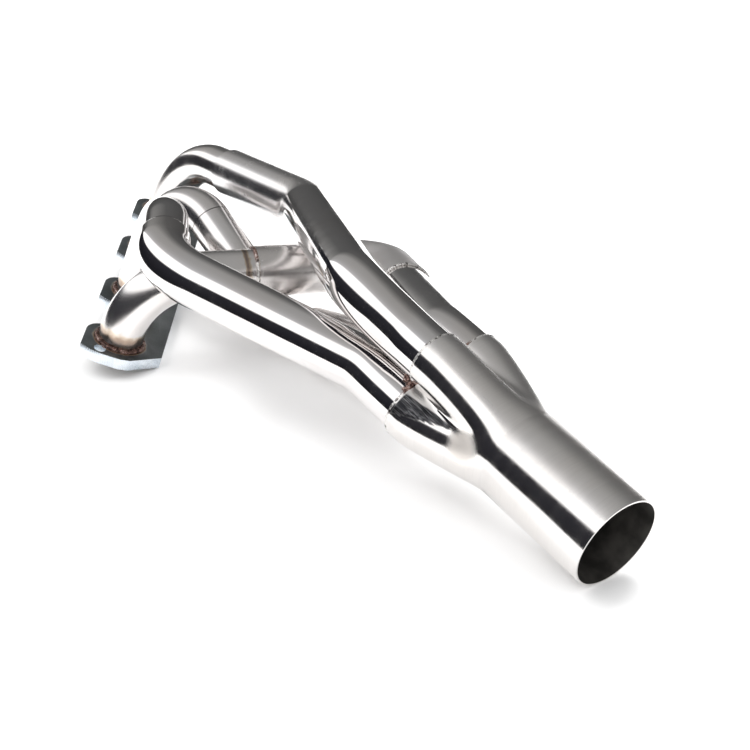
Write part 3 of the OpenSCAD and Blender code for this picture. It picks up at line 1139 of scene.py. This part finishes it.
class MANIFOLD_OT_stage(bpy.types.Operator):
    """Set the camera, the paper floor and soft studio light"""

    bl_idname = "manifold.stage"
    bl_label = "Stage"

    def execute(self, context):
        _, _, stage = settings_of(context)
        self.set_camera(context, stage)
        self.lay_floor()
        self.light(context)
        return {"FINISHED"}

    @staticmethod
    def set_camera(context, stage):
        right = TILT.to_3x3() @ Vector(CAMERA_RIGHT)
        back = -(TILT.to_3x3() @ Vector(CAMERA_FORWARD)).normalized()
        right = (right - right.dot(back) * back).normalized()
        up = back.cross(right)
        data = bpy.data.cameras.new("camera")
        data.lens = stage.lens
        data.sensor_width = 36.0
        data.clip_start = 0.01
        camera = add_object("camera", data)
        turn = Matrix((right, up, back)).transposed().to_4x4()
        camera.matrix_world = Matrix.Translation(place(CAMERA_AT)) @ turn
        context.scene.camera = camera

    @staticmethod
    def lay_floor():
        clear_selection()
        middle = ((PAPER[0] + PAPER[2]) / 2, (PAPER[1] + PAPER[3]) / 2, FLOOR_Z)
        bpy.ops.mesh.primitive_plane_add(size=1.0, location=middle)
        floor = bpy.context.object
        floor.scale = (PAPER[2] - PAPER[0], PAPER[3] - PAPER[1], 1.0)
        bpy.ops.object.transform_apply()
        floor.name = "paper_floor"
        floor.data.materials.append(finish("paper", floor_white))

    @staticmethod
    def light(context):
        scene = context.scene
        scene.view_settings.view_transform = "Standard"
        world = bpy.data.worlds.new("studio")
        world.use_nodes = True
        scene.world = world
        tree = Tree(world.node_tree)
        toward = tree.node("ShaderNodeTexCoord", output=0)
        x, y, z = tree.parts(toward)
        across = x * SOFTBOX_SIDE[0] + y * SOFTBOX_SIDE[1]
        climb = tree.node("ShaderNodeMath", {"operation": "ARCTAN2"},
                          {0: z.most(0.0), 1: across}) / math.pi
        seen = tree.node("ShaderNodeValToRGB", {"stops": [
            (at / 180, (level, level, level * blue)) for at, level, blue in ROOM]}, {"Fac": climb})
        rays = tree.node("ShaderNodeLightPath")
        glossy = Value(tree, rays.socket.node.outputs["Is Glossy Ray"])
        shown = tree.mix(glossy, (1.0, 1.0, 1.0), seen)
        background = tree.node("ShaderNodeBackground", None,
                               {"Color": shown,
                                "Strength": DAYLIGHT + glossy * (ROOM_GAIN - DAYLIGHT)})
        tree.node("ShaderNodeOutputWorld", None, {"Surface": background})
        for name, at, size, power in LAMPS:
            data = bpy.data.lights.new(name, "AREA")
            data.shape = "SQUARE"
            data.size = size
            data.energy = power
            lamp = add_object(name, data)
            lamp.visible_glossy = False
            aim = Vector(LAMPS_AIM) - Vector(at)
            lamp.location = at
            lamp.rotation_euler = aim.to_track_quat("-Z", "Y").to_euler()


class MANIFOLD_PT_panel(bpy.types.Panel):
    """Sizes, finishes and the steps that model the manifold"""

    bl_idname = "MANIFOLD_PT_panel"
    bl_label = "Exhaust Manifold"
    bl_space_type = "VIEW_3D"
    bl_region_type = "UI"
    bl_category = "Manifold"

    def draw(self, context):
        layout = self.layout
        for group in settings_of(context):
            box = layout.box()
            for name in group.__annotations__:
                box.prop(group, name)
        for step in STEPS:
            layout.operator(step.bl_idname)


STEPS = (
    MANIFOLD_OT_flange,
    MANIFOLD_OT_tube_1,
    MANIFOLD_OT_tube_2,
    MANIFOLD_OT_tube_3,
    MANIFOLD_OT_tube_4,
    MANIFOLD_OT_merge,
    MANIFOLD_OT_outlet,
    MANIFOLD_OT_plug,
    MANIFOLD_OT_port_welds,
    MANIFOLD_OT_slip_welds,
    MANIFOLD_OT_socket_welds,
    MANIFOLD_OT_stage,
)
GROUPS = (
    ("manifold_sizes", ManifoldSizes),
    ("manifold_finishes", ManifoldFinishes),
    ("manifold_stage", ManifoldStage),
)


def register():
    for name, group in GROUPS:
        bpy.utils.register_class(group)
        setattr(bpy.types.Scene, name, bpy.props.PointerProperty(type=group))
    for step in STEPS:
        bpy.utils.register_class(step)
    bpy.utils.register_class(MANIFOLD_PT_panel)


def unregister():
    bpy.utils.unregister_class(MANIFOLD_PT_panel)
    for step in reversed(STEPS):
        bpy.utils.unregister_class(step)
    for name, group in reversed(GROUPS):
        delattr(bpy.types.Scene, name)
        bpy.utils.unregister_class(group)


def main():
    register()
    for step in STEPS:
        group, name = step.bl_idname.split(".")
        getattr(getattr(bpy.ops, group), name)()


if __name__ == "__main__":
    main()
